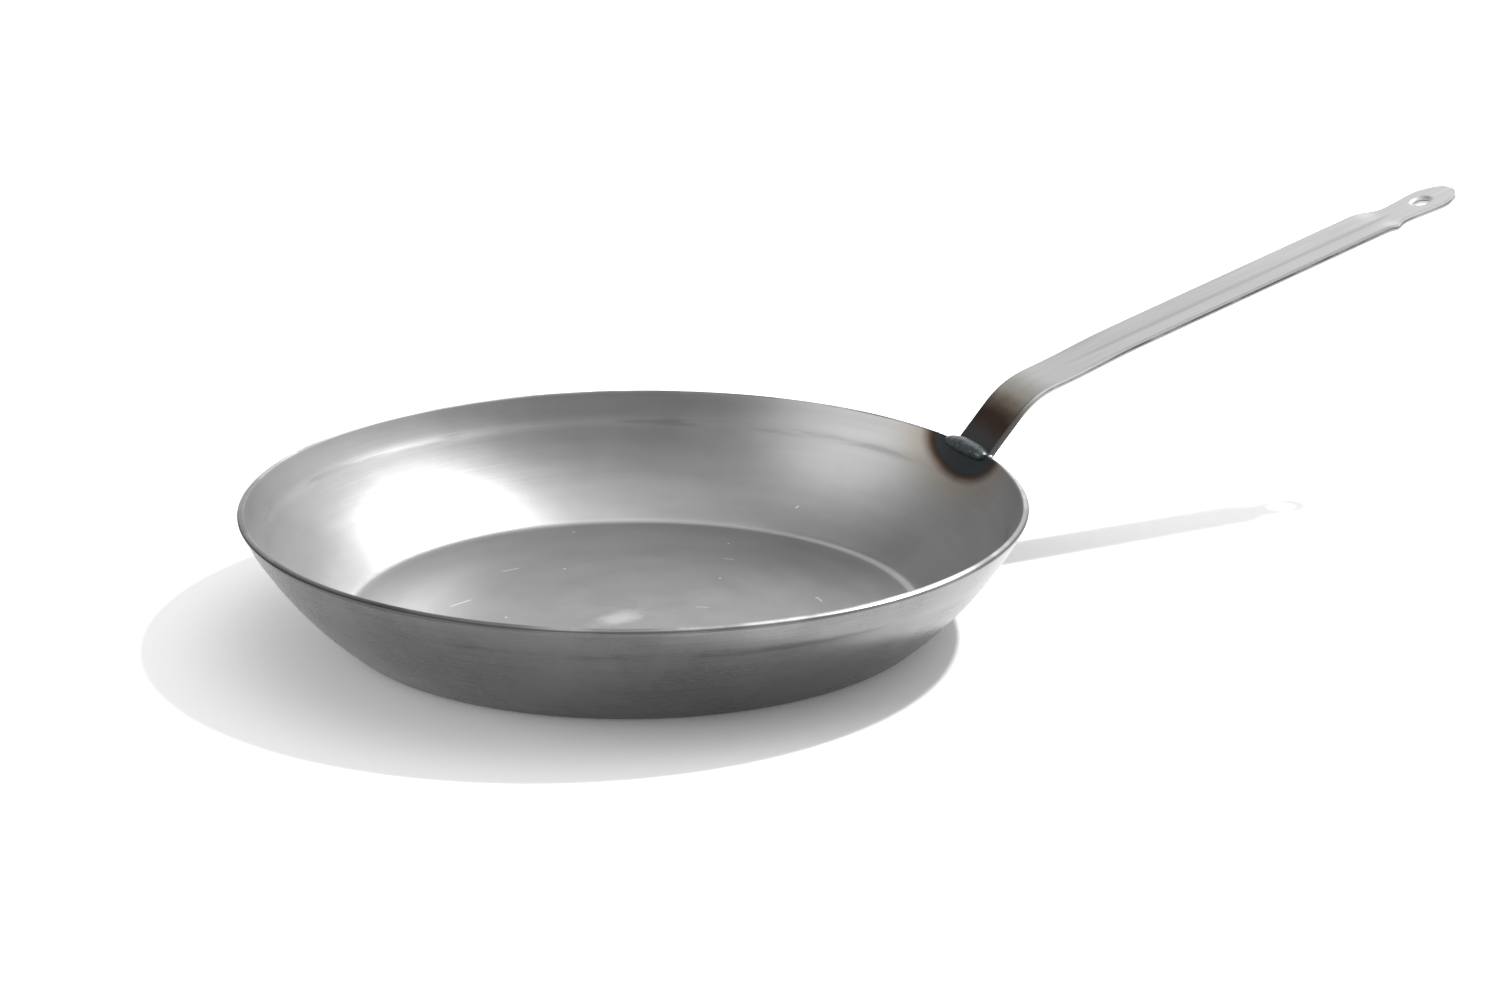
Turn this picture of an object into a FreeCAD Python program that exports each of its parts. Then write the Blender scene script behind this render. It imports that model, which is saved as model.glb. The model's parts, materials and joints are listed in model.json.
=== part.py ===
import FreeCAD, Part
import math
import os
import Sketcher

# A pressed carbon-steel frying pan with a strip-steel handle welded to its rim.
# Frame: origin at the middle of the flat base, on the surface that the pan stands on,
# +X along the handle, +Z up. Millimetres and degrees.

SIZES = [
    # pan: one pressed disc, the same thickness all over
    ("rim_radius", 140.0),        # axis to the outer edge of the rim
    ("base_radius", 102.0),       # flat part of the underside
    ("bend_radius", 6.5),         # outside of the bend between base and wall
    ("foot_slope", 38.6),         # slope of the wall where it leaves the base
    ("rim_slope", 63.7),          # slope of the wall at the rim
    ("sheet", 2.5),               # thickness of the sheet
    # handle: one strip, lapped on the outside of the wall and bent outwards
    ("strip_width", 22.0),
    ("strip_thick", 2.4),
    ("lap_length", 17.0),         # strip below the rim, against the wall
    ("lap_gap", 0.1),             # clearance between the strip and the wall
    ("lap_bend", 24.0),           # bend at the rim, on the upper face
    ("rise_length", 28.0),        # from the rim to the corner of the main bend
    ("rise_slope", 47.5),
    ("leg_bend", 36.0),           # main bend, on the upper face
    ("leg_slope", 15.35),         # slope of the long leg
    # long leg: distances from the corner of the main bend, along the leg
    ("gutter_start", 17.0),       # the gutter fades in from here
    ("gutter_blend", 26.0),
    ("gutter_depth", 1.2),        # edges of the strip above its middle line
    ("eye_at", 194.4),            # centre of the rounded end
    ("neck_back", 17.4),          # narrowest place behind that centre
    ("neck_half", 7.7),           # half width at the neck
    ("neck_radius", 8.0),         # hollow shoulder between strip and neck
    ("eye_radius", 9.5),
    ("press_out", 8.0),           # length over which the gutter flattens out
    ("hole_back", 5.1),           # hanging hole behind the centre of the rounded end
    ("hole_radius", 3.2),
    # weld beads
    ("bead_radius", 2.7),         # bead over the rim
    ("bead_over", 1.5),           # bead beyond each edge of the strip
    ("bead_lift", 1.2),           # centre of the bead above the edge of the rim
    ("toe_radius", 2.0),          # bead under the lower end of the strip
]


def make_sheet(doc):
    sheet = doc.addObject("Spreadsheet::Sheet", "Sizes")
    for row, (alias, number) in enumerate(SIZES, start=1):
        sheet.set("A%d" % row, alias)
        sheet.set("B%d" % row, str(number))
        sheet.setAlias("B%d" % row, alias)
    doc.recompute()
    return sheet


# Expressions are strings that the document evaluates. A point is a pair of them.

def size(alias):
    return "Sizes." + alias


def along(point, length, angle):
    """The point at a distance from another one, in a direction given in degrees."""
    return ("%s + (%s) * cos(%s)" % (point[0], length, angle),
            "%s + (%s) * sin(%s)" % (point[1], length, angle))


def arcsine(ratio):
    """The angle as a plain number of degrees."""
    return "(asin(%s) / 1 deg)" % ratio


WALL_RADIUS = ("((Sizes.rim_radius - Sizes.base_radius - Sizes.bend_radius * sin(Sizes.foot_slope))"
               " / (sin(Sizes.rim_slope) - sin(Sizes.foot_slope)))")
BEND_CENTRE = (size("base_radius"), size("bend_radius"))
WALL_FOOT = along(BEND_CENTRE, size("bend_radius"), "Sizes.foot_slope - 90")
WALL_CENTRE = along(WALL_FOOT, WALL_RADIUS, "Sizes.foot_slope + 90")
RIM = along(WALL_CENTRE, WALL_RADIUS, "Sizes.rim_slope - 90")

# The strip's upper face is tangent to the wall half way along the lap.
LAP_SLOPE = "(Sizes.rim_slope - %s)" % arcsine("Sizes.lap_length / 2 / " + WALL_RADIUS)
LAP_MIDDLE = along(WALL_CENTRE, WALL_RADIUS + " + Sizes.lap_gap", LAP_SLOPE + " - 90")
LAP_END = along(LAP_MIDDLE, "-Sizes.lap_length / 2", LAP_SLOPE)
RIM_CORNER = along(LAP_MIDDLE, "Sizes.lap_length / 2", LAP_SLOPE)
LEG_CORNER = along(RIM_CORNER, size("rise_length"), size("rise_slope"))
RIM_TANGENT = "Sizes.lap_bend * tan((%s - Sizes.rise_slope) / 2)" % LAP_SLOPE
LEG_TANGENT = "Sizes.leg_bend * tan((Sizes.rise_slope - Sizes.leg_slope) / 2)"
HALF_WIDTH = "Sizes.strip_width / 2"
NECK = "(Sizes.eye_at - Sizes.neck_back)"
FLAT_START = "(%s - Sizes.neck_radius)" % NECK
GUTTER_END = "(%s - Sizes.press_out)" % FLAT_START
TIP = "(Sizes.eye_at + Sizes.eye_radius)"


class Drawing:
    """A sketch whose points, radii and angles are bound to the sheet."""

    def __init__(self, body, role, name):
        self.sheet = body.Document.getObject("Sizes")
        self.sketch = body.newObject("Sketcher::SketchObject", name)
        planes = [plane for plane in body.Origin.OriginFeatures if plane.Role == role]
        self.sketch.AttachmentSupport = [(planes[0], "")]
        self.sketch.MapMode = "FlatFace"

    def number(self, expression):
        value = self.sheet.evalExpression(expression)
        return float(getattr(value, "Value", value))

    def vector(self, point):
        return FreeCAD.Vector(self.number(point[0]), self.number(point[1]), 0)

    def bind(self, constraint, expression):
        index = self.sketch.addConstraint(constraint)
        self.sketch.setExpression("Constraints[%d]" % index, expression)

    def pin(self, curve, end, point):
        """Hold an end (1, 2) or a centre (3) at a point."""
        self.bind(Sketcher.Constraint("DistanceX", -1, 1, curve, end, self.number(point[0])), point[0])
        self.bind(Sketcher.Constraint("DistanceY", -1, 1, curve, end, self.number(point[1])), point[1])

    def line(self, start, end):
        return self.sketch.addGeometry(Part.LineSegment(self.vector(start), self.vector(end)), False)

    def arc(self, centre, radius, first, last):
        """An anticlockwise arc between two angles, with its radius bound."""
        circle = Part.Circle(self.vector(centre), FreeCAD.Vector(0, 0, 1), self.number(radius))
        span = (math.radians(self.number(first)), math.radians(self.number(last)))
        index = self.sketch.addGeometry(Part.ArcOfCircle(circle, *span), False)
        self.bind(Sketcher.Constraint("Radius", index, self.number(radius)), radius)
        return index

    def circle(self, centre, radius):
        round_edge = Part.Circle(self.vector(centre), FreeCAD.Vector(0, 0, 1), self.number(radius))
        index = self.sketch.addGeometry(round_edge, False)
        self.bind(Sketcher.Constraint("Radius", index, self.number(radius)), radius)
        self.pin(index, 3, centre)
        return index

    def join(self, curve, end, other, start):
        self.sketch.addConstraint(Sketcher.Constraint("Coincident", curve, end, other, start))

    def polygon(self, points):
        """Closed straight outline through the points."""
        count = len(points)
        lines = [self.line(points[i], points[(i + 1) % count]) for i in range(count)]
        for i in range(count):
            self.join(lines[i], 2, lines[(i + 1) % count], 1)
            self.pin(lines[i], 1, points[i])


def new_body(doc, label):
    body = doc.addObject("PartDesign::Body", label)
    body.Label = label
    return body


def draw_pan_section(body):
    """Half section of the pressed disc: outside from the axis to the rim, then back inside."""
    draw = Drawing(body, "XZ_Plane", "PanSection")
    inner_bend = "Sizes.bend_radius - Sizes.sheet"
    inner_wall = WALL_RADIUS + " - Sizes.sheet"
    axis_low = ("0", "0")
    axis_high = ("0", size("sheet"))
    base_edge = (size("base_radius"), "0")
    inner_edge = (size("base_radius"), size("sheet"))
    inner_foot = along(WALL_FOOT, size("sheet"), "Sizes.foot_slope + 90")
    inner_rim = along(RIM, size("sheet"), "Sizes.rim_slope + 90")
    base = draw.line(axis_low, base_edge)
    bend = draw.arc(BEND_CENTRE, size("bend_radius"), "-90", "Sizes.foot_slope - 90")
    wall = draw.arc(WALL_CENTRE, WALL_RADIUS, "Sizes.foot_slope - 90", "Sizes.rim_slope - 90")
    cut = draw.line(RIM, inner_rim)
    back = draw.arc(WALL_CENTRE, inner_wall, "Sizes.foot_slope - 90", "Sizes.rim_slope - 90")
    turn = draw.arc(BEND_CENTRE, inner_bend, "-90", "Sizes.foot_slope - 90")
    floor = draw.line(inner_edge, axis_high)
    axis = draw.line(axis_high, axis_low)
    # each corner: the curve and end that reach it, the curve and end that leave it, its place
    corners = [
        (base, 2, bend, 1, base_edge), (bend, 2, wall, 1, WALL_FOOT), (wall, 2, cut, 1, RIM),
        (cut, 2, back, 2, inner_rim), (back, 1, turn, 2, inner_foot), (turn, 1, floor, 1, inner_edge),
        (floor, 2, axis, 1, axis_high), (axis, 2, base, 1, axis_low),
    ]
    for curve, end, other, start, place in corners:
        draw.join(curve, end, other, start)
        draw.pin(curve, end, place)
    return draw.sketch


def make_pan(doc):
    body = new_body(doc, "pan_body")
    section = draw_pan_section(body)
    turned = body.newObject("PartDesign::Revolution", "PressedDisc")
    turned.Profile = section
    turned.ReferenceAxis = (section, ["V_Axis"])
    turned.Angle = 360
    return body


def draw_strip_path(body):
    """Middle line of the upper face, from the start of the gutter back to the lower end."""
    draw = Drawing(body, "XZ_Plane", "StripPath")
    leg_start = along(LEG_CORNER, size("gutter_start"), size("leg_slope"))
    leg_high = along(LEG_CORNER, LEG_TANGENT, size("leg_slope"))
    leg_low = along(LEG_CORNER, "-(%s)" % LEG_TANGENT, size("rise_slope"))
    rim_high = along(RIM_CORNER, RIM_TANGENT, size("rise_slope"))
    rim_low = along(RIM_CORNER, "-(%s)" % RIM_TANGENT, LAP_SLOPE)
    leg_centre = along(leg_high, size("leg_bend"), "Sizes.leg_slope - 90")
    rim_centre = along(rim_high, size("lap_bend"), "Sizes.rise_slope - 90")
    leg = draw.line(leg_start, leg_high)
    main = draw.arc(leg_centre, size("leg_bend"), "Sizes.leg_slope + 90", "Sizes.rise_slope + 90")
    rise = draw.line(leg_low, rim_high)
    knee = draw.arc(rim_centre, size("lap_bend"), "Sizes.rise_slope + 90", LAP_SLOPE + " + 90")
    lap = draw.line(rim_low, LAP_END)
    draw.pin(leg, 1, leg_start)
    corners = [
        (leg, 2, main, 1, leg_high), (main, 2, rise, 1, leg_low),
        (rise, 2, knee, 1, rim_high), (knee, 2, lap, 1, rim_low),
    ]
    for curve, end, other, start, place in corners:
        draw.join(curve, end, other, start)
        draw.pin(curve, end, place)
    draw.pin(lap, 2, LAP_END)
    return draw.sketch


def draw_strip_section(body, name, distance, depth):
    """Section across the long leg: flat for depth 0, a shallow V otherwise."""
    draw = Drawing(body, "YZ_Plane", name)
    place = along(LEG_CORNER, distance, size("leg_slope"))
    sketch = draw.sketch
    sketch.AttachmentOffset = FreeCAD.Placement(
        FreeCAD.Vector(0, draw.number(place[1]), draw.number(place[0])),
        FreeCAD.Rotation(FreeCAD.Vector(-1, 0, 0), draw.number(size("leg_slope"))))
    sketch.setExpression("AttachmentOffset.Base.y", place[1])
    sketch.setExpression("AttachmentOffset.Base.z", place[0])
    sketch.setExpression("AttachmentOffset.Rotation.Angle", size("leg_slope"))
    low_edge = "%s - Sizes.strip_thick" % depth
    draw.polygon([
        ("-" + HALF_WIDTH, depth), ("-" + HALF_WIDTH, low_edge), ("0", "-Sizes.strip_thick"),
        (HALF_WIDTH, low_edge), (HALF_WIDTH, depth), ("0", "0"),
    ])
    return sketch


def draw_on_leg(body, name):
    """An empty drawing on the long leg: x along the leg from its corner, y across it."""
    draw = Drawing(body, "XY_Plane", name)
    sketch = draw.sketch
    sketch.AttachmentOffset = FreeCAD.Placement(
        FreeCAD.Vector(draw.number(LEG_CORNER[0]), 0, draw.number(LEG_CORNER[1])),
        FreeCAD.Rotation(FreeCAD.Vector(0, -1, 0), draw.number(size("leg_slope"))))
    sketch.setExpression("AttachmentOffset.Base.x", LEG_CORNER[0])
    sketch.setExpression("AttachmentOffset.Base.z", LEG_CORNER[1])
    sketch.setExpression("AttachmentOffset.Rotation.Angle", size("leg_slope"))
    return draw


def draw_waste(body):
    """What is trimmed off around the neck and the rounded end."""
    draw = draw_on_leg(body, "EndTrim")
    outside = "Sizes.strip_width"
    past_tip = "%s + Sizes.strip_width" % TIP
    shoulder_run = ("sqrt(Sizes.neck_radius ^ 2 - (Sizes.neck_radius + Sizes.neck_half - %s) ^ 2)"
                    % HALF_WIDTH)
    shoulder = "%s - %s" % (NECK, shoulder_run)
    turn_in = arcsine("(Sizes.neck_radius + Sizes.neck_half - %s) / Sizes.neck_radius" % HALF_WIDTH)
    side_angle = "(90 + %s)" % arcsine(
        "(Sizes.eye_radius - Sizes.neck_half) / Sizes.neck_back")
    centre_up = "Sizes.neck_half + Sizes.neck_radius"
    eye = (size("eye_at"), "0")

    right = draw.arc((NECK, centre_up), size("neck_radius"), "180 + " + turn_in, "270")
    left = draw.arc((NECK, "-(%s)" % centre_up), size("neck_radius"), "90",
                    "180 - " + turn_in)
    end = draw.arc(eye, size("eye_radius"), "-" + side_angle, side_angle)
    right_side = draw.line((NECK, size("neck_half")), along(eye, size("eye_radius"), side_angle))
    left_side = draw.line(along(eye, size("eye_radius"), "-" + side_angle),
                          (NECK, "-" + size("neck_half")))
    frame_points = [(shoulder, HALF_WIDTH), (shoulder, outside), (past_tip, outside),
                    (past_tip, "-" + outside), (shoulder, "-" + outside), (shoulder, "-" + HALF_WIDTH)]
    frame = [draw.line(frame_points[i], frame_points[i + 1]) for i in range(5)]
    for i in range(4):
        draw.join(frame[i], 2, frame[i + 1], 1)
        draw.pin(frame[i], 2, frame_points[i + 1])
    draw.join(right, 1, frame[0], 1)
    draw.pin(right, 1, frame_points[0])
    draw.join(left, 2, frame[4], 2)
    draw.pin(left, 2, frame_points[5])
    draw.join(right, 2, right_side, 1)
    draw.pin(right, 2, (NECK, size("neck_half")))
    draw.join(left, 1, left_side, 2)
    draw.pin(left, 1, (NECK, "-" + size("neck_half")))
    draw.pin(end, 3, eye)
    draw.sketch.addConstraint(Sketcher.Constraint("Tangent", right_side, 2, end, 2))
    draw.sketch.addConstraint(Sketcher.Constraint("Tangent", left_side, 1, end, 1))
    return draw.sketch


def loft(body, name, first, second):
    feature = body.newObject("PartDesign::AdditiveLoft", name)
    feature.Profile = first
    feature.Sections = [second]
    feature.Ruled = True


def pad(body, name, sketch, length):
    feature = body.newObject("PartDesign::Pad", name)
    feature.Profile = sketch
    feature.setExpression("Length", length)


def cut_through(body, name, sketch):
    """Cut both ways through the leg, and make sure that something was removed."""
    before = body.Shape.Volume
    feature = body.newObject("PartDesign::Pocket", name)
    feature.Profile = sketch
    feature.Midplane = True
    feature.setExpression("Length", "Sizes.strip_width * 2")
    body.Document.recompute()
    if body.Shape.Volume > before - 1.0:
        raise RuntimeError(name + " removed nothing")


def make_handle(doc):
    body = new_body(doc, "handle_strip")
    path = draw_strip_path(body)
    start = draw_strip_section(body, "FlatNearPan", size("gutter_start"), "0")
    opened = draw_strip_section(body, "GutterOpen", "Sizes.gutter_start + Sizes.gutter_blend",
                                size("gutter_depth"))
    closing = draw_strip_section(body, "GutterClosing", GUTTER_END, size("gutter_depth"))
    flat = draw_strip_section(body, "FlatAtEye", FLAT_START, "0")
    doc.recompute()
    pipe = body.newObject("PartDesign::AdditivePipe", "BentStrip")
    pipe.Profile = start
    pipe.Spine = (path, ["Edge%d" % (i + 1) for i in range(5)])
    loft(body, "GutterOpens", start, opened)
    pad(body, "GutterRun", opened, "%s - Sizes.gutter_start - Sizes.gutter_blend" % GUTTER_END)
    loft(body, "GutterCloses", closing, flat)
    pad(body, "EyeBlank", flat, "%s - %s" % (TIP, FLAT_START))
    doc.recompute()
    cut_through(body, "TrimmedEnd", draw_waste(body))
    hole = draw_on_leg(body, "HangingHoleOutline")
    hole.circle(("Sizes.eye_at - Sizes.hole_back", "0"), size("hole_radius"))
    cut_through(body, "HangingHole", hole.sketch)
    return body


def make_bead(doc, label, place, radius, touching):
    """A bead along an arc about the pan's axis, less the pieces that it lies against."""
    sheet = doc.getObject("Sizes")
    half_span = arcsine("(%s + Sizes.bead_over) / (%s)" % (HALF_WIDTH, place[0]))
    middle = doc.addObject("Part::Torus", label + "_run")
    middle.setExpression("Radius1", place[0])
    middle.setExpression("Radius2", radius)
    middle.setExpression("Angle3", "2 * " + half_span)
    middle.setExpression("Placement.Base.z", place[1])
    middle.Placement.Rotation = FreeCAD.Rotation(FreeCAD.Vector(0, 0, -1), 1)
    middle.setExpression("Placement.Rotation.Angle", half_span)
    pieces = [middle]
    for side in ("-", ""):
        end = doc.addObject("Part::Sphere", label + "_end")
        end.setExpression("Radius", radius)
        end.setExpression("Placement.Base.x", "(%s) * cos(%s)" % (place[0], half_span))
        end.setExpression("Placement.Base.y", "%s(%s) * sin(%s)" % (side, place[0], half_span))
        end.setExpression("Placement.Base.z", place[1])
        pieces.append(end)
    whole = doc.addObject("Part::MultiFuse", label + "_whole")
    whole.Shapes = pieces
    remaining = whole
    for piece in touching:
        trimmed = doc.addObject("Part::Cut", label + "_trim")
        trimmed.Base = remaining
        trimmed.Tool = piece
        remaining = trimmed
    remaining.Label = label
    return remaining


def check(doc, parts):
    for item in doc.Objects:
        if "Invalid" in item.State or "Error" in item.State:
            raise RuntimeError("%s: %s" % (item.Name, item.State))
    for part in parts:
        if part.Shape.isNull() or not part.Shape.isValid():
            raise RuntimeError(part.Label + " has no valid shape")
        if len(part.Shape.Solids) != 1:
            raise RuntimeError("%s is %d solids" % (part.Label, len(part.Shape.Solids)))


def main():
    doc = FreeCAD.newDocument("FryingPan")
    make_sheet(doc)
    pan = make_pan(doc)
    doc.recompute()
    handle = make_handle(doc)
    rim_seam = (RIM[0], RIM[1] + " + Sizes.bead_lift")
    strip_toe = along(LAP_END, "Sizes.strip_thick / 2", LAP_SLOPE + " - 90")
    parts = [
        pan,
        handle,
        make_bead(doc, "rim_weld", rim_seam, size("bead_radius"), [pan, handle]),
        make_bead(doc, "toe_weld", strip_toe, size("toe_radius"), [pan, handle]),
    ]
    doc.recompute()
    check(doc, parts)
    os.makedirs("parts", exist_ok=True)
    for part in parts:
        part.Shape.exportStep("parts/%s.step" % part.Label)
        box = part.Shape.BoundBox
        print("%-14s %9.1f mm3  x %.1f..%.1f  y %.1f..%.1f  z %.1f..%.1f" % (
            part.Label, part.Shape.Volume, box.XMin, box.XMax, box.YMin, box.YMax, box.ZMin, box.ZMax))


main()
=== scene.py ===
import json
import math

import bmesh
import bpy
from bpy.props import FloatProperty, FloatVectorProperty, IntProperty, PointerProperty
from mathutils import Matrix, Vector


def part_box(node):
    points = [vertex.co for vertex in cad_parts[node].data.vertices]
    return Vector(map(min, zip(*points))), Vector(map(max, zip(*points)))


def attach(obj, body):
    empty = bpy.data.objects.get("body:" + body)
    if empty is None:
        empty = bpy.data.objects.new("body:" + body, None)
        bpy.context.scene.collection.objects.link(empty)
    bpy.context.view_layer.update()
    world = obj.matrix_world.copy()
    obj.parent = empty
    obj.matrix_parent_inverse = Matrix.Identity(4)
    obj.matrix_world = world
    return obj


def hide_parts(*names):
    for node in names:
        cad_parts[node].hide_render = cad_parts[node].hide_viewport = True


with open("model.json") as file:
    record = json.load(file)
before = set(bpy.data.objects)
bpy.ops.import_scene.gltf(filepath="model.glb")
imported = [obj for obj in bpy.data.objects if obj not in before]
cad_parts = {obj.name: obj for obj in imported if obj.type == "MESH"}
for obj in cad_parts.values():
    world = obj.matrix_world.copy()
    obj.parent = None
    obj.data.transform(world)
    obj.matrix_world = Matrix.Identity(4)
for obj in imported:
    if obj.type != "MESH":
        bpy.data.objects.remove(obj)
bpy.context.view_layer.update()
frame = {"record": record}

bl_info = {
    "name": "Carbon Steel Frying Pan",
    "version": (1, 0, 0),
    "blender": (4, 5, 0),
    "location": "3D View > Sidebar > Frying Pan",
    "description": "Pressed steel pan with a welded strip handle",
    "category": "Object",
}

PAN_LOW, PAN_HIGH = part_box("pan_body")
STRIP_LOW, STRIP_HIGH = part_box("handle_strip")
SEAM_LOW, SEAM_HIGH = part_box("rim_weld")
TOE_LOW, TOE_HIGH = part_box("toe_weld")
HOLE = next(mount for mount in frame["record"]["mounts"] if mount["name"] == "hanging_hole")


def length(name, description, default):
    return FloatProperty(name=name, description=description, default=default, unit="LENGTH")


def angle(name, description, default):
    """A property whose default is given in degrees."""
    return FloatProperty(name=name, description=description, default=math.radians(default), subtype="ANGLE")


def colour(name, description, default):
    return FloatVectorProperty(name=name, description=description, default=default, subtype="COLOR")


class PanSizes(bpy.types.PropertyGroup):
    rim_radius: length("Rim radius", "Axis to the outer edge of the rim", PAN_HIGH.x)
    base_radius: length("Base radius", "Flat part of the underside", 0.102)
    bend_radius: length("Bend radius", "Outside of the bend at the base", 0.0065)
    foot_slope: angle("Foot slope", "Slope of the wall above the bend", 38.6)
    rim_slope: angle("Rim slope", "Slope of the wall at the rim", 63.7)
    sheet: length("Sheet", "Thickness of the pressed sheet", 0.0025)
    edge_round: length("Edge rounding", "Softening of the cut edge of the rim", 0.0005)
    press_drop: length("Press line drop", "Press line below the rim, along the wall", 0.0125)
    press_step: length("Press line step", "How far the wall steps out at the press line", 0.00022)
    press_width: length("Press line width", "Width of that step along the wall", 0.0050)
    segments: IntProperty(name="Segments", description="Steps round the pan", default=256)


class HandleSizes(bpy.types.PropertyGroup):
    width: length("Width", "Width of the strip", STRIP_HIGH.y - STRIP_LOW.y)
    thickness: length("Thickness", "Thickness of the strip", 0.0024)
    lap: length("Lap", "Strip below the rim, on the outside of the wall", 0.017)
    lap_slope: angle("Lap slope", "Slope of the strip along the wall", 59.786)
    lap_bend: length("Rim bend", "Bend at the rim, on the upper face", 0.024)
    rise: length("Rise", "From the rim to the main bend", 0.028)
    rise_slope: angle("Rise slope", "Slope between the rim and the main bend", 47.5)
    leg_bend: length("Main bend", "Main bend, on the upper face", 0.036)
    leg_slope: angle("Leg slope", "Slope of the long leg", 15.35)
    leg: length("Leg", "From the main bend's corner to the tip", 0.2039)
    gutter_start: length("Gutter start", "From the main bend's corner", 0.014)
    gutter_blend: length("Gutter blend", "Length over which the gutter fades in", 0.034)
    gutter_depth: length("Gutter depth", "Edges above the middle line", 0.0012)
    gutter_end: length("Gutter end", "Where the gutter is pressed out, from the corner", 0.1685)
    gutter_close: length("Gutter close", "Length over which the gutter is pressed out", 0.006)
    neck_at: length("Neck", "Narrowest place, from the corner", 0.177)
    neck_half: length("Neck half width", "Half width at the neck", 0.0077)
    shoulder: length("Shoulder", "Hollow radius between strip and neck", 0.008)
    eye_radius: length("Eye radius", "Radius of the rounded end", 0.0095)
    dish_radius: length("Dish radius", "Dish pressed round the hanging hole", 0.0050)
    dish_depth: length("Dish depth", "Depth of that dish", 0.0005)
    edge_round: length("Edge rounding", "Softening of the strip's edges", 0.00055)
    columns: IntProperty(name="Columns", description="Steps across the strip, an even number", default=8)


class WeldSizes(bpy.types.PropertyGroup):
    seam_radius: length("Seam bead radius", "Bead over the rim", 0.0034)
    seam_inset: length("Seam bead inset", "How far the bead leans over the inside of the rim", 0.0014)
    seam_fullness: FloatProperty(name="Seam fullness", description="Higher for blunter ends", default=3.4)
    toe_radius: length("Toe bead radius", "Bead under the lower end of the strip", 0.0020)
    toe_fullness: FloatProperty(name="Toe fullness", description="Higher for blunter ends", default=5.0)
    ripple: FloatProperty(name="Ripple", description="Height, as a share of the radius", default=0.03)
    ripples: IntProperty(name="Ripples", description="Ripples along a bead", default=7)
    steps: IntProperty(name="Steps", description="Steps along a bead", default=40)
    lump_size: length("Lump size", "Spacing of the lumps in a bead", 0.0060)
    lump_height: FloatProperty(name="Lump height", description="As a share of the radius", default=0.20)
    spatter_radius: length("Spatter", "Radius of the largest drop of spatter", 0.0008)


class FinishColours(bpy.types.PropertyGroup):
    pan: colour("Pan steel", "Bare pressed steel", (0.35, 0.35, 0.35))
    pan_dark: colour("Pan steel, dark", "Darker scale left in the steel", (0.29, 0.29, 0.29))
    # Pale steel for wear marks, also used as painted highlights along the bend inside the pan and on the
    # top of the weld bead.
    bright: colour("Bright steel", "Freshly scratched or wiped steel", (0.75, 0.75, 0.75))
    # A dark colour for the sheared corner of the rim, also used as painted shade on the flat of the pan,
    # low on the outer wall and half way down the strip's edges.
    burr: colour("Burr", "Dark line of the sheared corner", (0.07, 0.07, 0.07))
    # The outside colours are darker copies of the pan steel, painted shade for the shaded floor that the
    # outer wall reflects.
    outside: colour("Outside", "Outside of the wall, less polished", (0.26, 0.26, 0.26))
    outside_dark: colour("Outside, dark", "Darker scale on the outside", (0.20, 0.20, 0.20))
    cut_edge: colour("Cut edge", "Freshly cut rim", (0.38, 0.38, 0.38))
    strip: colour("Strip steel", "Bare strip of the handle", (0.435, 0.435, 0.432))
    strip_edge: colour("Strip edge", "Sheared edge of the strip", (0.36, 0.36, 0.36))
    # Painted shade along the middle line of the gutter.
    fold: colour("Fold", "Middle line of the gutter", (0.22, 0.22, 0.22))
    char: colour("Char", "Burnt strip beside the weld", (0.055, 0.052, 0.053))
    slate: colour("Slate oxide", "Thick oxide beside the weld", (0.035, 0.042, 0.045))
    umber: colour("Umber oxide", "Dark oxide between brown and slate", (0.042, 0.024, 0.018))
    brown: colour("Brown oxide", "Thinner oxide further out", (0.090, 0.052, 0.033))
    straw: colour("Straw oxide", "Thinnest oxide", (0.36, 0.30, 0.22))
    weld: colour("Weld metal", "Oxidised bead", (0.060, 0.070, 0.075))
    floor: colour("Floor", "Pale floor", (0.94, 0.94, 0.94))


class StageSettings(bpy.types.PropertyGroup):
    aim: FloatVectorProperty(name="Aim", description="Point that the camera looks at", subtype="XYZ",
                             unit="LENGTH", default=(0.0428, -0.0073, 0.0395))
    place: FloatVectorProperty(name="Place", description="Where the camera stands", subtype="XYZ",
                               unit="LENGTH", default=(-0.6119, -1.2273, 0.4816))
    lens: FloatProperty(name="Lens", description="Focal length", default=97.3, unit="CAMERA")
    key_place: FloatVectorProperty(name="Key light", description="Where the key light stands",
                                   subtype="XYZ", unit="LENGTH", default=(1.023, 0.037, 1.326))
    key_size: length("Key size", "Diameter of the key light", 0.10)
    key_power: FloatProperty(name="Key power", description="Power of the key light", default=33.0,
                             unit="POWER")
    sky: FloatProperty(name="Sky", description="Brightness between the soft boxes", default=0.38)
    floor_glow: FloatProperty(name="Floor glow", description="Light that the floor gives off", default=0.09)
    floor_size: length("Floor size", "Side of the square floor", 12.0)


# ---------------------------------------------------------------- mesh work

# Points closer than MERGE are one point; places closer than NEAR count as the same when selecting.
MERGE = 0.000001
NEAR = 0.00001


def clear_selection():
    """Back to object mode, with nothing selected."""
    if bpy.context.object and bpy.context.object.mode != "OBJECT":
        bpy.ops.object.mode_set(mode="OBJECT")
    bpy.ops.object.select_all(action="DESELECT")


def adopt(name):
    """Name the primitive that was just added and open it for editing."""
    piece = bpy.context.object
    piece.name = name
    piece.data.name = name
    bpy.ops.object.mode_set(mode="EDIT")
    bpy.ops.mesh.select_mode(type="VERT")
    return piece


def select_points(piece, test):
    """In edit mode, select the points whose place passes the test."""
    bpy.ops.mesh.select_all(action="DESELECT")
    mesh = bmesh.from_edit_mesh(piece.data)
    for point in mesh.verts:
        if test(point):
            point.select = True
    mesh.select_flush_mode()
    bmesh.update_edit_mesh(piece.data)


def extrude(offset):
    bpy.ops.mesh.extrude_region_move(TRANSFORM_OT_translate={"value": offset})


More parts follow.
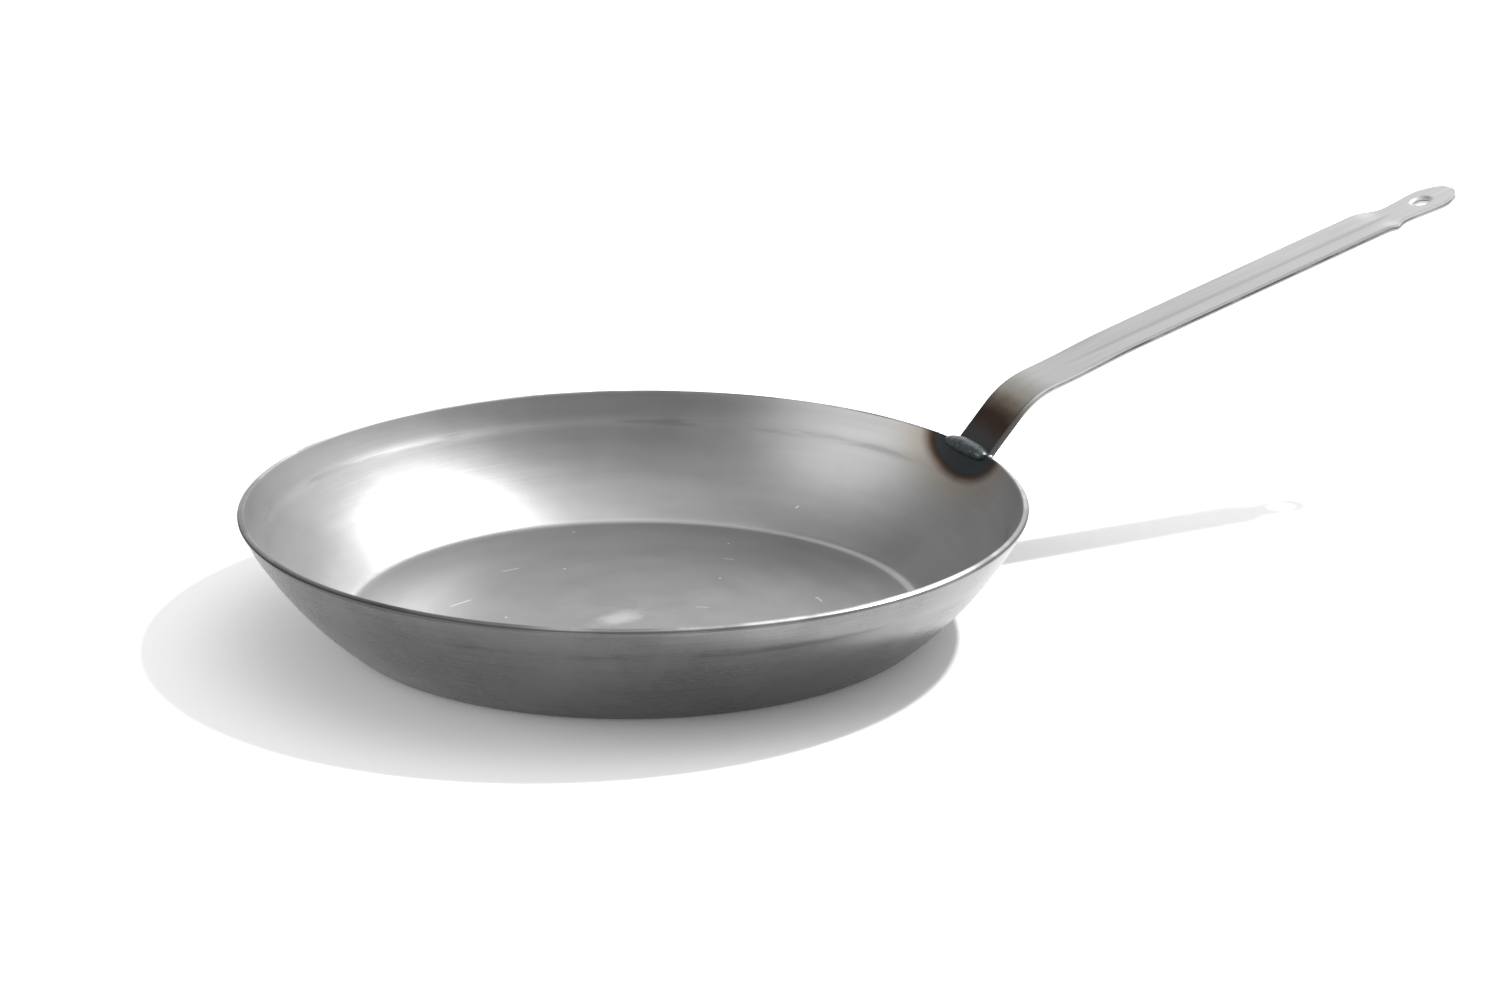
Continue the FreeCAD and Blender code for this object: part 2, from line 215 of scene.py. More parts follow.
def scale_about(centre, factors):
    bpy.ops.transform.resize(value=factors, center_override=centre)


def outward():
    """In edit mode, merge doubled points of a closed shell and turn its faces outwards."""
    bpy.ops.mesh.select_all(action="SELECT")
    bpy.ops.mesh.remove_doubles(threshold=MERGE)
    bpy.ops.mesh.normals_make_consistent(inside=False)


def close_edit():
    bpy.ops.object.mode_set(mode="OBJECT")


def apply_modifier(piece, kind, **settings):
    modifier = piece.modifiers.new(kind.title(), kind)
    for key, value in settings.items():
        setattr(modifier, key, value)
    bpy.context.view_layer.objects.active = piece
    bpy.ops.object.modifier_apply(modifier=modifier.name)


def smooth(piece, degrees=40.0):
    clear_selection()
    piece.select_set(True)
    bpy.context.view_layer.objects.active = piece
    bpy.ops.object.shade_smooth_by_angle(angle=math.radians(degrees))


def hand_over(piece, node, material):
    """The piece rides on the one body, stands for its CAD node and takes its finish."""
    piece.data.materials.clear()
    piece.data.materials.append(material)
    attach(piece, "root")
    if node:
        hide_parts(node)


def smoothstep(x):
    """0 to 1 with soft ends."""
    x = min(max(x, 0.0), 1.0)
    return x * x * (3.0 - 2.0 * x)


# ---------------------------------------------------------------- shader work

class Value:
    """A number socket: arithmetic on it adds Math nodes."""

    def __init__(self, graph, socket):
        self.graph = graph
        self.socket = socket

    def math(self, operation, *others):
        inputs = dict(enumerate((self,) + others))
        node = self.graph.node("ShaderNodeMath", {"operation": operation}, inputs)
        return Value(self.graph, node.outputs[0])

    def __add__(self, other):
        return self.math("ADD", other)

    def __sub__(self, other):
        return self.math("SUBTRACT", other)

    def __mul__(self, other):
        return self.math("MULTIPLY", other)

    def __truediv__(self, other):
        return self.math("DIVIDE", other)

    def __radd__(self, other):
        return self + other

    def __rmul__(self, other):
        return self * other

    def __rsub__(self, other):
        return self * -1.0 + other

    def size(self):
        """The value without its sign."""
        return self.math("ABSOLUTE")

    def ramp(self, low, high):
        """0 below low, 1 above high, smooth between; falls when low is above high."""
        ends = {"To Min": 0.0, "To Max": 1.0}
        if low > high:
            low, high = high, low
            ends = {"To Min": 1.0, "To Max": 0.0}
        inputs = {"Value": self, "From Min": low, "From Max": high, **ends}
        node = self.graph.node("ShaderNodeMapRange", {"interpolation_type": "SMOOTHSTEP"}, inputs)
        return Value(self.graph, node.outputs["Result"])


class Graph:
    """The nodes of a material or of the world."""

    def __init__(self, tree):
        self.tree = tree
        tree.nodes.clear()

    def node(self, kind, settings, inputs):
        node = self.tree.nodes.new(kind)
        for key, value in settings.items():
            setattr(node, key, value)
        for key, value in inputs.items():
            if isinstance(value, Value):
                value = value.socket
            if isinstance(value, bpy.types.NodeSocket):
                self.tree.links.new(value, node.inputs[key])
            else:
                node.inputs[key].default_value = value
        return node


class Shader(Graph):
    """A material with one Principled surface, and helpers that add nodes to it."""

    def __init__(self, name, constants):
        self.material = bpy.data.materials.new(name)
        self.material.use_nodes = True
        super().__init__(self.material.node_tree)
        self.surface = self.node("ShaderNodeBsdfPrincipled", {}, constants)
        self.node("ShaderNodeOutputMaterial", {}, {"Surface": self.surface.outputs[0]})
        self.place = self.node("ShaderNodeTexCoord", {}, {}).outputs["Object"]
        split = self.node("ShaderNodeSeparateXYZ", {}, {"Vector": self.place})
        self.x, self.y, self.z = [Value(self, socket) for socket in split.outputs]

    def vector(self, x, y, z):
        return self.node("ShaderNodeCombineXYZ", {}, {"X": x, "Y": y, "Z": z}).outputs[0]

    def noise(self, place, scale, detail, roughness):
        node = self.node("ShaderNodeTexNoise", {}, {
            "Vector": place, "Scale": scale, "Detail": detail, "Roughness": roughness})
        return Value(self, node.outputs[0])

    def mix(self, mask, under, over):
        """One colour over another; each is a socket or a plain colour."""
        return self.node("ShaderNodeMix", {"data_type": "RGBA"}, {0: mask, 6: under, 7: over}).outputs[2]

    def distance(self, centre, stretch):
        """Distance to a point, each axis counted by its own stretch."""
        squares = [(axis - c) * (axis - c) * (k * k)
                   for axis, c, k in zip((self.x, self.y, self.z), centre, stretch)]
        return (squares[0] + squares[1] + squares[2]).math("SQRT")

    def attribute(self, name):
        return Value(self, self.node("ShaderNodeAttribute", {"attribute_name": name}, {}).outputs["Fac"])

    def bump(self, height, distance):
        node = self.node("ShaderNodeBump", {}, {"Height": height, "Distance": distance, "Strength": 1.0})
        self.set("Normal", node.outputs[0])

    def set(self, name, value):
        socket = value.socket if isinstance(value, Value) else value
        self.tree.links.new(socket, self.surface.inputs[name])


def rgba(value):
    return (value[0], value[1], value[2], 1.0)


def dimmed(value, share):
    return rgba([channel * share for channel in value])


# ---------------------------------------------------------------- finishes

# Tints that welding leaves, from the outermost inwards: colour, where it starts and where it is
# full, as distances from the weld, and its strength.
PAN_TINTS = (
    ("straw", 0.042, 0.020, 0.46),
    ("brown", 0.0240, 0.0185, 0.9),
    ("umber", 0.0205, 0.0170, 1.0),
    ("slate", 0.0185, 0.0155, 1.0),
)
STRIP_TINTS = (
    ("straw", 0.0370, 0.0215, 0.55),
    ("brown", 0.0262, 0.0165, 0.9),
    ("umber", 0.0188, 0.0125, 1.0),
    ("char", 0.011, 0.003, 1.0),
)

# Scratches on the flat of the pan: x, y, direction in degrees and half length.
SCRATCHES = (
    (-0.0517, 0.0366, 18.0, 0.0060),
    (0.0227, -0.0083, -35.0, 0.0030),
    (0.0566, 0.0350, -50.0, 0.0022),
    (0.0974, 0.0566, -20.0, 0.0008),
    (0.0640, -0.0210, 80.0, 0.0030),
    (-0.0200, 0.0620, 5.0, 0.0045),
)
SCRATCH_WIDTH = 0.0004
WIPED_SPOT = (-0.0066, -0.0060)
BURNT_SPOT = (-0.110, -0.083)


def tinted(shader, steel, heat, colours, tints):
    for name, start, full, strength in tints:
        steel = shader.mix(heat.ramp(start, full) * strength, steel, rgba(getattr(colours, name)))
    return steel


class PanPlaces:
    """Where a point of the pan lies, as values that its finish is mixed by."""

    def __init__(self, shader, sizes):
        bow, centre_r, centre_z = wall_arc(sizes)
        self.shader = shader
        self.radius = (shader.x * shader.x + shader.y * shader.y).math("SQRT")
        turn = shader.y.math("ARCTAN2", shader.x)
        self.around = (turn.math("COSINE"), turn.math("SINE"))
        self.inside = shader.z.ramp(sizes.sheet * 0.6, sizes.sheet * 0.9)
        self.flat = (sizes.base_radius - self.radius).ramp(-0.002, 0.004) * self.inside
        outwards = self.radius - centre_r
        upwards = shader.z - centre_z
        from_centre = (outwards * outwards + upwards * upwards).math("SQRT")
        outer_face = from_centre.ramp(bow - sizes.sheet * 0.55, bow - sizes.sheet * 0.35)
        under_face = shader.z.ramp(sizes.sheet * 0.6, sizes.sheet * 0.4)
        self.outside = outer_face.math("MAXIMUM", under_face)
        self.outer_corner = from_centre.ramp(bow - 0.0009, bow - 0.0004)
        # Distance along the wall from the rim, negative below it.
        brink_z = PAN_HIGH.z - sizes.sheet * math.cos(sizes.rim_slope)
        self.wall_run = ((self.radius - sizes.rim_radius) * math.cos(sizes.rim_slope)
                         + (shader.z - brink_z) * math.sin(sizes.rim_slope))

    def rings(self, across, up, turns, detail, roughness):
        """Noise drawn out into rings round the pan."""
        place = self.shader.vector(self.radius * across + self.shader.z * up,
                                   self.around[0] * turns, self.around[1] * turns)
        return self.shader.noise(place, 1.0, detail, roughness)


def scratch(shader, x, y, lean, reach):
    """One thin scratch, seen from above."""
    along = (shader.x - x) * math.cos(lean) + (shader.y - y) * math.sin(lean)
    across = (shader.y - y) * math.cos(lean) - (shader.x - x) * math.sin(lean)
    mark = along.size().ramp(reach, reach * 0.6) * across.size().ramp(SCRATCH_WIDTH, SCRATCH_WIDTH * 0.25)
    return mark * 0.7


def specks(shader):
    """Small bright dots, few of them."""
    cells = shader.node("ShaderNodeTexVoronoi", {"feature": "F1", "voronoi_dimensions": "2D"},
                        {"Vector": shader.place, "Scale": 46.0})
    split = shader.node("ShaderNodeSeparateColor", {}, {"Color": cells.outputs["Color"]})
    chosen = Value(shader, split.outputs[0]).ramp(0.86, 0.88)
    return Value(shader, cells.outputs["Distance"]).ramp(0.026, 0.016) * chosen


def worn_marks(shader, places, sizes, mottle):
    """A wiped spot, scratches and specks on the inside."""
    wiped = shader.distance((*WIPED_SPOT, sizes.sheet), (0.8, 1.3, 1.0)) + (mottle - 0.5) * 0.035
    marks = wiped.ramp(0.011, 0.001) * 0.45
    for x, y, lean, reach in SCRATCHES:
        marks = marks.math("MAXIMUM", scratch(shader, x, y, math.radians(lean), reach))
    return (marks + specks(shader) * places.flat) * places.inside


def inside_steel(shader, places, sizes, colours, mottle):
    """Bare steel in faint bands, with wear; painted shade darkens the flat, more towards −X, and a painted
    highlight runs along the bend on the +X side.
    """
    band = places.rings(60.0, 60.0, 1.6, 3.0, 0.5)
    shade = (band * 0.6 + mottle * 0.4).ramp(0.30, 0.70)
    steel = shader.mix(shade, rgba(colours.pan_dark), rgba(colours.pan))
    # Painted shade over the flat of the pan, stronger towards −X, away from the key light.
    flat_shade = places.flat * (shader.x.ramp(0.03, -0.09) * 0.18 + 0.14)
    steel = shader.mix(flat_shade, steel, rgba(colours.burr))
    steel = shader.mix(worn_marks(shader, places, sizes, mottle), steel, rgba(colours.bright))
    # Painted highlight: a pale line round the bend at the edge of the flat, on the +X side towards the key
    # light.
    crease_highlight = (places.radius - sizes.base_radius).size().ramp(0.0020, 0.0006) * places.inside
    return shader.mix(crease_highlight * shader.x.ramp(-0.06, 0.07) * 0.40, steel, rgba(colours.bright))


def shaded_outside_steel(shader, places, colours, brush, mottle, steel):
    """The outer wall in mottled darker copies of the steel: painted shade for the shaded floor it reflects,
    with more painted shade towards the base.
    """
    scale = (brush * 0.3 + mottle * 0.7).ramp(0.35, 0.65)
    shaded_outside = shader.mix(scale, rgba(colours.outside_dark), rgba(colours.outside))
    steel = shader.mix(places.outside, steel, shaded_outside)
    # Painted shade: darker towards the base and towards +X, for the shaded floor the outer wall reflects.
    low = shader.z.ramp(0.034, 0.006) * (shader.x.ramp(-0.10, 0.06) * 0.28 + 0.14)
    return shader.mix(places.outside * low, steel, rgba(colours.burr))


def press_marks(shader, places, sizes, colours, mottle, steel):
    """Broken dark streaks along the press line."""
    pressed = (places.wall_run + sizes.press_drop + (mottle - 0.5) * 0.003).size()
    streak = places.rings(0.0, 260.0, 2.2, 3.0, 0.6)
    marks = pressed.ramp(0.0024, 0.0004) * streak.ramp(0.46, 0.62) * 0.30
    return shader.mix(marks, steel, rgba(colours.burr))


def rim_edge(shader, places, colours, mottle, steel):
    """Cut edge of the rim, with a dark burr at its outer corner and one burnt stretch."""
    edge = places.wall_run.ramp(-0.0009, -0.0003)
    cut = shader.mix(mottle.ramp(0.40, 0.60), dimmed(colours.cut_edge, 0.5), rgba(colours.cut_edge))
    steel = shader.mix(edge, steel, cut)
    burr = places.wall_run.ramp(-0.0012, -0.0006) * places.outer_corner
    steel = shader.mix(burr * 0.75, steel, rgba(colours.burr))
    burnt = shader.distance((*BURNT_SPOT, PAN_HIGH.z), (1.0, 1.0, 1.0)).ramp(0.050, 0.020)
    return shader.mix(burnt * edge * 0.7, steel, rgba(colours.burr))


def pan_steel(scene):
    colours = scene.finish_colours
    sizes = scene.pan_sizes
    shader = Shader("PanSteel", {"Metallic": 1.0})
    places = PanPlaces(shader, sizes)
    brush = places.rings(900.0, 700.0, 1.3, 4.0, 0.65)
    mottle = shader.noise(shader.place, 30.0, 5.0, 0.6)
    fine = shader.noise(shader.place, 900.0, 2.0, 0.5)
    steel = inside_steel(shader, places, sizes, colours, mottle)
    steel = shaded_outside_steel(shader, places, colours, brush, mottle, steel)
    steel = press_marks(shader, places, sizes, colours, mottle, steel)
    steel = rim_edge(shader, places, colours, mottle, steel)
    weld = (PAN_HIGH.x, 0.0, PAN_HIGH.z)
    heat = shader.distance(weld, (1.25, 0.80, 1.55)) + (mottle - 0.5) * 0.005
    shader.set("Base Color", tinted(shader, steel, heat, colours, PAN_TINTS))
    texture = brush * 0.06 + mottle * 0.06
    shader.set("Roughness", texture + 0.33 - places.outside * 0.11 - places.flat * 0.06)
    shader.bump((brush * 0.5 + fine * 0.3) * (1.0 - places.outside * 0.7), 0.00002)
    return shader.material


def strip_steel(scene):
    colours = scene.finish_colours
    sizes = scene.handle_sizes
    shader = Shader("StripSteel", {"Metallic": 1.0})
    lengthwise = shader.vector(shader.x * 30.0 + shader.z * 10.0, shader.y * 900.0, shader.z * 30.0)
    grain = shader.noise(lengthwise, 1.0, 4.0, 0.6)
    mottle = shader.noise(shader.place, 70.0, 5.0, 0.6)
    steel = shader.mix(grain.ramp(0.3, 0.7), dimmed(colours.strip, 0.88), rgba(colours.strip))
    fold = shader.y.size() + (grain - 0.5) * 0.0006
    # Places on X between which the painted shade along the middle line of the gutter shows.
    fold_starts, fold_full, fold_fades, fold_ends = 0.172, 0.200, 0.322, 0.330
    fold_shade_reach = shader.x.ramp(fold_starts, fold_full) * shader.x.ramp(fold_ends, fold_fades)
    steel = shader.mix(fold.ramp(0.0024, 0.0003) * fold_shade_reach * 0.42, steel, rgba(colours.fold))
    from_rim = (shader.x - PAN_HIGH.x) / math.cos(sizes.rise_slope)
    heat = from_rim + (mottle - 0.5) * 0.010 - 0.0010 - shader.y * 0.12
    steel = tinted(shader, steel, heat, colours, STRIP_TINTS)
    edge = shader.attribute("edge")
    depth = shader.attribute("depth")
    sheared = shader.mix(heat.ramp(0.034, 0.018), rgba(colours.strip_edge), rgba(colours.char))
    steel = shader.mix(edge * 0.9, steel, sheared)
    # Painted shade: a dark line half way down the strip's cut edges, round the hanging hole too.
    edge_shade_depth = (depth - 0.56).size().ramp(0.24, 0.06)
    edge_shade_line = edge.ramp(0.25, 0.75) * edge_shade_depth * (mottle.ramp(0.38, 0.62) * 0.5 + 0.5)
    shader.set("Base Color", shader.mix(edge_shade_line, steel, rgba(colours.burr)))
    shader.set("Roughness", grain * 0.06 + mottle * 0.06 + 0.34)
    shader.bump(grain * 0.4 + mottle * 0.2, 0.00002)
    return shader.material


def weld_metal(scene):
    colours = scene.finish_colours
    shader = Shader("WeldMetal", {"Metallic": 0.9})
    lumps = shader.noise(shader.place, 300.0, 4.0, 0.55)
    tint = shader.noise(shader.place, 180.0, 2.0, 0.5)
    steel = shader.mix(tint.ramp(0.35, 0.60), dimmed(colours.slate, 2.0), rgba(colours.weld))
    ends = (shader.y.size() + (lumps - 0.5) * 0.003).ramp(SEAM_HIGH.y - 0.0012, SEAM_HIGH.y)
    steel = shader.mix(ends * 0.8, steel, rgba(colours.bright))
    # Painted highlights: pale flecks along the top of the bead.
    crest_highlight = shader.noise(shader.vector(shader.x * 2.0, shader.y, shader.z * 2.0), 260.0, 3.0, 0.6)
    shader.set("Base Color", shader.mix(crest_highlight.ramp(0.64, 0.72) * 0.18, steel, rgba(colours.bright)))
    shader.set("Roughness", lumps * 0.2 + 0.26)
    shader.bump(lumps, 0.00018)
    return shader.material


def floor_paint(scene):
    tone = scene.finish_colours.floor
    glow = scene.stage_settings.floor_glow
    shader = Shader("PaleFloor", {"Roughness": 0.9, "Emission Color": rgba((1.0, 1.0, 1.0)),
                                  "Emission Strength": glow})
    patch = shader.noise(shader.place, 3.0, 2.0, 0.5)
    shader.set("Base Color", shader.mix(patch, rgba(tone), dimmed(tone, 0.985)))
    return shader.material


# ---------------------------------------------------------------- the pan

def pan_profile(sizes):
    """Half section as (radius, height): under the base, up the outside, over the rim, down the inside."""
    foot = sizes.foot_slope
    brink = sizes.rim_slope
    bow, centre_r, centre_z = wall_arc(sizes)

    def wall(slope, depth):
        """A point of the wall at a slope, this far under the outer face, with the press line's step."""
        below_rim = (brink - slope) * bow
        step = sizes.press_step * smoothstep((sizes.press_drop - below_rim) / sizes.press_width + 0.5)
        reach = bow - depth + step
        return centre_r + reach * math.sin(slope), centre_z - reach * math.cos(slope)

    def bend(slope, depth):
        reach = sizes.bend_radius - depth
        return sizes.base_radius + reach * math.sin(slope), sizes.bend_radius - reach * math.cos(slope)

    bend_steps = 6
    wall_steps = 44
    bends = [foot * i / bend_steps for i in range(bend_steps + 1)]
    walls = [foot + (brink - foot) * i / wall_steps for i in range(1, wall_steps + 1)]
    soft = sizes.edge_round
    end = brink - soft / bow
    rings = [0.03, 0.06, 0.09, sizes.base_radius - 0.0015]
    flat = [(r, 0.0) for r in rings]
    floor = [(r, sizes.sheet) for r in reversed(rings)]
    outside = [bend(s, 0.0) for s in bends] + [wall(s, 0.0) for s in walls if s < end] + [wall(end, 0.0)]
    inside = [wall(end, sizes.sheet)] + [wall(s, sizes.sheet) for s in reversed(walls) if s < end]
    inside += [bend(s, sizes.sheet) for s in reversed(bends)]
    corner = soft * 0.3
    over = [wall(brink - corner / bow, corner), wall(brink, soft),
            wall(brink, sizes.sheet - soft), wall(brink - corner / bow, sizes.sheet - corner)]
    return flat + outside + over + inside + floor


def wall_arc(sizes):
    """Outer radius of the bowed wall and its centre as (radius, height)."""
    foot = sizes.foot_slope
    bow = ((sizes.rim_radius - sizes.base_radius - sizes.bend_radius * math.sin(foot))
           / (math.sin(sizes.rim_slope) - math.sin(foot)))
    centre_r = sizes.base_radius - (bow - sizes.bend_radius) * math.sin(foot)
    centre_z = sizes.bend_radius + (bow - sizes.bend_radius) * math.cos(foot)
    return bow, centre_r, centre_z


def build_pan(sizes):
    """Extrude a ring along the half section, then close it in the middle, above and below."""
    clear_selection()
    profile = pan_profile(sizes)
    first_r, first_z = profile[0]
    bpy.ops.mesh.primitive_circle_add(vertices=sizes.segments, radius=first_r, location=(0, 0, first_z),
                                      fill_type="NOTHING")
    piece = adopt("pan")
    bpy.ops.mesh.select_all(action="SELECT")
    last_r, last_z = first_r, first_z
    for r, z in profile[1:]:
        extrude((0, 0, z - last_z))
        scale_about((0, 0, 0), (r / last_r, r / last_r, 1.0))
        last_r, last_z = r, z
    extrude((0, 0, 0))
    bpy.ops.mesh.merge(type="CENTER")
    select_points(piece, lambda p: abs(p.co.z - first_z) < MERGE and abs(p.co.xy.length - first_r) < NEAR)
    extrude((0, 0, 0))
    bpy.ops.mesh.merge(type="CENTER")
    outward()
    close_edit()
    return piece


class PAN_OT_make_body(bpy.types.Operator):
    """Make the pressed pan: base, bowed wall with its press line, and cut rim"""

    bl_idname = "pan.make_body"
    bl_label = "Make Pan"

    def execute(self, context):
        piece = build_pan(context.scene.pan_sizes)
        smooth(piece)
        hand_over(piece, "pan_body", pan_steel(context.scene))
        return {"FINISHED"}


# ---------------------------------------------------------------- the handle

def strip_stations(sizes, low_end):
    """Middle of the upper face as (place on X and Z, slope, distance from the main bend's corner)."""
    lap_u = Vector((math.cos(sizes.lap_slope), math.sin(sizes.lap_slope)))
    rise_u = Vector((math.cos(sizes.rise_slope), math.sin(sizes.rise_slope)))
    leg_u = Vector((math.cos(sizes.leg_slope), math.sin(sizes.leg_slope)))
    rim = low_end + lap_u * sizes.lap
    corner = rim + rise_u * sizes.rise
    rim_turn = sizes.lap_slope - sizes.rise_slope
    leg_turn = sizes.rise_slope - sizes.leg_slope
    rim_tangent = sizes.lap_bend * math.tan(rim_turn / 2)
    leg_tangent = sizes.leg_bend * math.tan(leg_turn / 2)

    def straight(start, end, slope, count):
        return [(start.lerp(end, i / count), slope) for i in range(count)]

    def arc(start, slope, turn, radius, count):
        centre = start + radius * Vector((math.sin(slope), -math.cos(slope)))
        points = []
        for i in range(count):
            now = slope - turn * i / count
            points.append((centre + radius * Vector((-math.sin(now), math.cos(now))), now))
        return points

    rim_low = rim - lap_u * rim_tangent
    rim_high = rim + rise_u * rim_tangent
    leg_low = corner - rise_u * leg_tangent
    path = straight(low_end, rim_low, sizes.lap_slope, 4)
    path += arc(rim_low, sizes.lap_slope, rim_turn, sizes.lap_bend, 3)
    path += straight(rim_high, leg_low, sizes.rise_slope, 3)
    path += arc(leg_low, sizes.rise_slope, leg_turn, sizes.leg_bend, 8)
    stations = [(point, slope, -1.0) for point, slope in path]
    for distance in leg_distances(sizes, leg_tangent):
        stations.append((corner + leg_u * distance, sizes.leg_slope, distance))
    return stations


def leg_distances(sizes, start):
    """Stations along the long leg, closer together where its outline or section changes."""
    hole = hole_distance(sizes)
    closing = sizes.gutter_end - sizes.gutter_close
    plain_steps = 24
    plain = [start + (closing - start) * i / plain_steps for i in range(plain_steps)]
    pressed = [closing, closing + sizes.gutter_close / 2, sizes.gutter_end]
    neck = [sizes.neck_at + step for step in (-0.0062, -0.0040, -0.0015, 0.0015)]
    side = hole_side(sizes)
    block = [hole + side * share for share in (-1.25, -0.6, 0.0, 0.6, 1.25)]
    centre = sizes.leg - sizes.eye_radius
    end = [centre + sizes.eye_radius * math.sin(math.radians(a)) for a in (52, 66, 77)]
    return plain + pressed + neck + block + end


def hole_distance(sizes):
    """The hanging hole's place along the leg, worked out from its mount."""
    corner = leg_corner(sizes)
    place = Vector((HOLE["pos_m"][0], HOLE["pos_m"][2]))
    return (place - corner).dot(Vector((math.cos(sizes.leg_slope), math.sin(sizes.leg_slope))))


def hole_side(sizes):
    """Half side of the square of faces that is opened for the hole."""
    return sizes.eye_radius * 0.52


def strip_low_end(sizes):
    """Lower end of the upper face: the strip's lowest corner is its under side."""
    return Vector((STRIP_LOW.x, STRIP_LOW.z + sizes.thickness * math.cos(sizes.lap_slope)))


def leg_corner(sizes):
    """Corner of the main bend, on the upper face, as (x, z)."""
    low = strip_low_end(sizes)
    rim = low + sizes.lap * Vector((math.cos(sizes.lap_slope), math.sin(sizes.lap_slope)))
    return rim + sizes.rise * Vector((math.cos(sizes.rise_slope), math.sin(sizes.rise_slope)))


def half_width(sizes, distance):
    """Outline of the strip: straight sides, a hollow shoulder, a neck and a rounded end."""
    full = sizes.width / 2
    centre = sizes.leg - sizes.eye_radius
    if distance < sizes.neck_at:
        run = min(sizes.neck_at - distance, sizes.shoulder)
        hollow = sizes.neck_half + sizes.shoulder - math.sqrt(sizes.shoulder ** 2 - run ** 2)
        return min(full, hollow)
    if distance < centre:
        share = (distance - sizes.neck_at) / (centre - sizes.neck_at)
        return sizes.neck_half + (sizes.eye_radius - sizes.neck_half) * smoothstep(share * 0.9 + 0.1)
    return math.sqrt(max(sizes.eye_radius ** 2 - (distance - centre) ** 2, 0.0))


def gutter(sizes, distance):
    """Height of the strip's edges above its middle line."""
    opened = smoothstep((distance - sizes.gutter_start) / sizes.gutter_blend)
    pressed = smoothstep((sizes.gutter_end - distance) / sizes.gutter_close + 0.5)
    return sizes.gutter_depth * opened * pressed


def build_handle(sizes):
    """Extrude one row of faces along the stations, shape it, cut the hole and thicken it downwards."""
    clear_selection()
    columns = sizes.columns
    stations = strip_stations(sizes, strip_low_end(sizes))
    (first, _, _), (second, _, _) = stations[0], stations[1]
    bpy.ops.mesh.primitive_grid_add(x_subdivisions=1, y_subdivisions=columns, size=sizes.width,
                                    location=(0, 0, 0))
    piece = adopt("handle")
    select_points(piece, lambda p: p.co.x < 0)
    bpy.ops.transform.translate(value=(first.x + sizes.width / 2, 0, first.y))
    select_points(piece, lambda p: p.co.z < first.y / 2)
    bpy.ops.transform.translate(value=(second.x - sizes.width / 2, 0, second.y))
    for (start, _, _), (end, _, _) in zip(stations[1:], stations[2:]):
        extrude((end.x - start.x, 0, end.y - start.y))

    def at(point):
        return lambda p: abs(p.co.x - point.x) < NEAR and abs(p.co.z - point.y) < NEAR

    for point, slope, distance in stations:
        if distance < 0:
            continue
        factor = half_width(sizes, distance) / (sizes.width / 2)
        lift = gutter(sizes, distance)
        if factor < 0.999:
            select_points(piece, at(point))
            scale_about((point.x, 0, point.y), (1.0, factor, 1.0))
        if lift > NEAR:
            for column in range(1, columns // 2 + 1):
                share = column / (columns // 2)
                reach = share * half_width(sizes, distance)
                select_points(piece, lambda p: at(point)(p) and abs(abs(p.co.y) - reach) < NEAR)
                rise = lift * share
                bpy.ops.transform.translate(value=(-rise * math.sin(slope), 0, rise * math.cos(slope)))
    cut_hole(piece, sizes)
    bpy.ops.mesh.select_all(action="SELECT")
    bpy.ops.mesh.remove_doubles(threshold=MERGE)
    bpy.ops.mesh.normals_make_consistent(inside=False)
    mesh = bmesh.from_edit_mesh(piece.data)
    mesh.faces.ensure_lookup_table()
    if sum(face.normal.z for face in mesh.faces) < 0:
        bpy.ops.mesh.flip_normals()
    close_edit()
    apply_modifier(piece, "SOLIDIFY", thickness=sizes.thickness, offset=-1.0, use_even_offset=True)
    apply_modifier(piece, "BEVEL", width=sizes.edge_round, segments=2, limit_method="ANGLE",
                   angle_limit=math.radians(50))
    apply_modifier(piece, "SUBSURF", levels=2, render_levels=2)
    mark_edges(piece, sizes)
    return piece


# Widths that the finish of the strip's edges covers: along its sides, round its end and round its
# hole, and the width over which that finish fades.
SIDE_RIND = 0.0008
END_RIND = 0.0011
HOLE_RIND = 0.0009
RIND_FADE = 0.0006


def mark_edges(piece, sizes):
    """Store, for the finish, how near each point is to an edge and how deep it lies in the thickness."""
    corner = leg_corner(sizes)
    run = Vector((math.cos(sizes.leg_slope), math.sin(sizes.leg_slope)))
    up = Vector((-run.y, run.x))
    hole = hole_distance(sizes)
    hole_radius = HOLE["dims"]["r_mm"] / 1000
    stations = [(point, slope) for point, slope, _ in strip_stations(sizes, strip_low_end(sizes))]
    edges = piece.data.attributes.new("edge", "FLOAT", "POINT")
    depths = piece.data.attributes.new("depth", "FLOAT", "POINT")
    for point, edge, depth in zip(piece.data.vertices, edges.data, depths.data):
        place = Vector((point.co.x, point.co.z))
        distance = (place - corner).dot(run)
        width = half_width(sizes, distance)
        past = distance - sizes.leg + sizes.eye_radius
        if past > 0:
            outline = math.hypot(past, point.co.y) - sizes.eye_radius + END_RIND
        else:
            outline = abs(point.co.y) - width + SIDE_RIND
        from_hole = math.hypot(distance - hole, point.co.y)
        inner = hole_radius + HOLE_RIND - from_hole
        edge.value = smoothstep(max(outline, inner) / RIND_FADE)
        if distance > sizes.gutter_start:
            lift = gutter(sizes, distance) * min(abs(point.co.y) / width, 1.0) if width > 0.001 else 0.0
            below = lift - (place - corner).dot(up)
        else:
            near, slope = min(stations, key=lambda item: (item[0] - place).length)
            below = -(place - near).dot(Vector((-math.sin(slope), math.cos(slope))))
        depth.value = min(max(below / sizes.thickness, 0.0), 1.0)


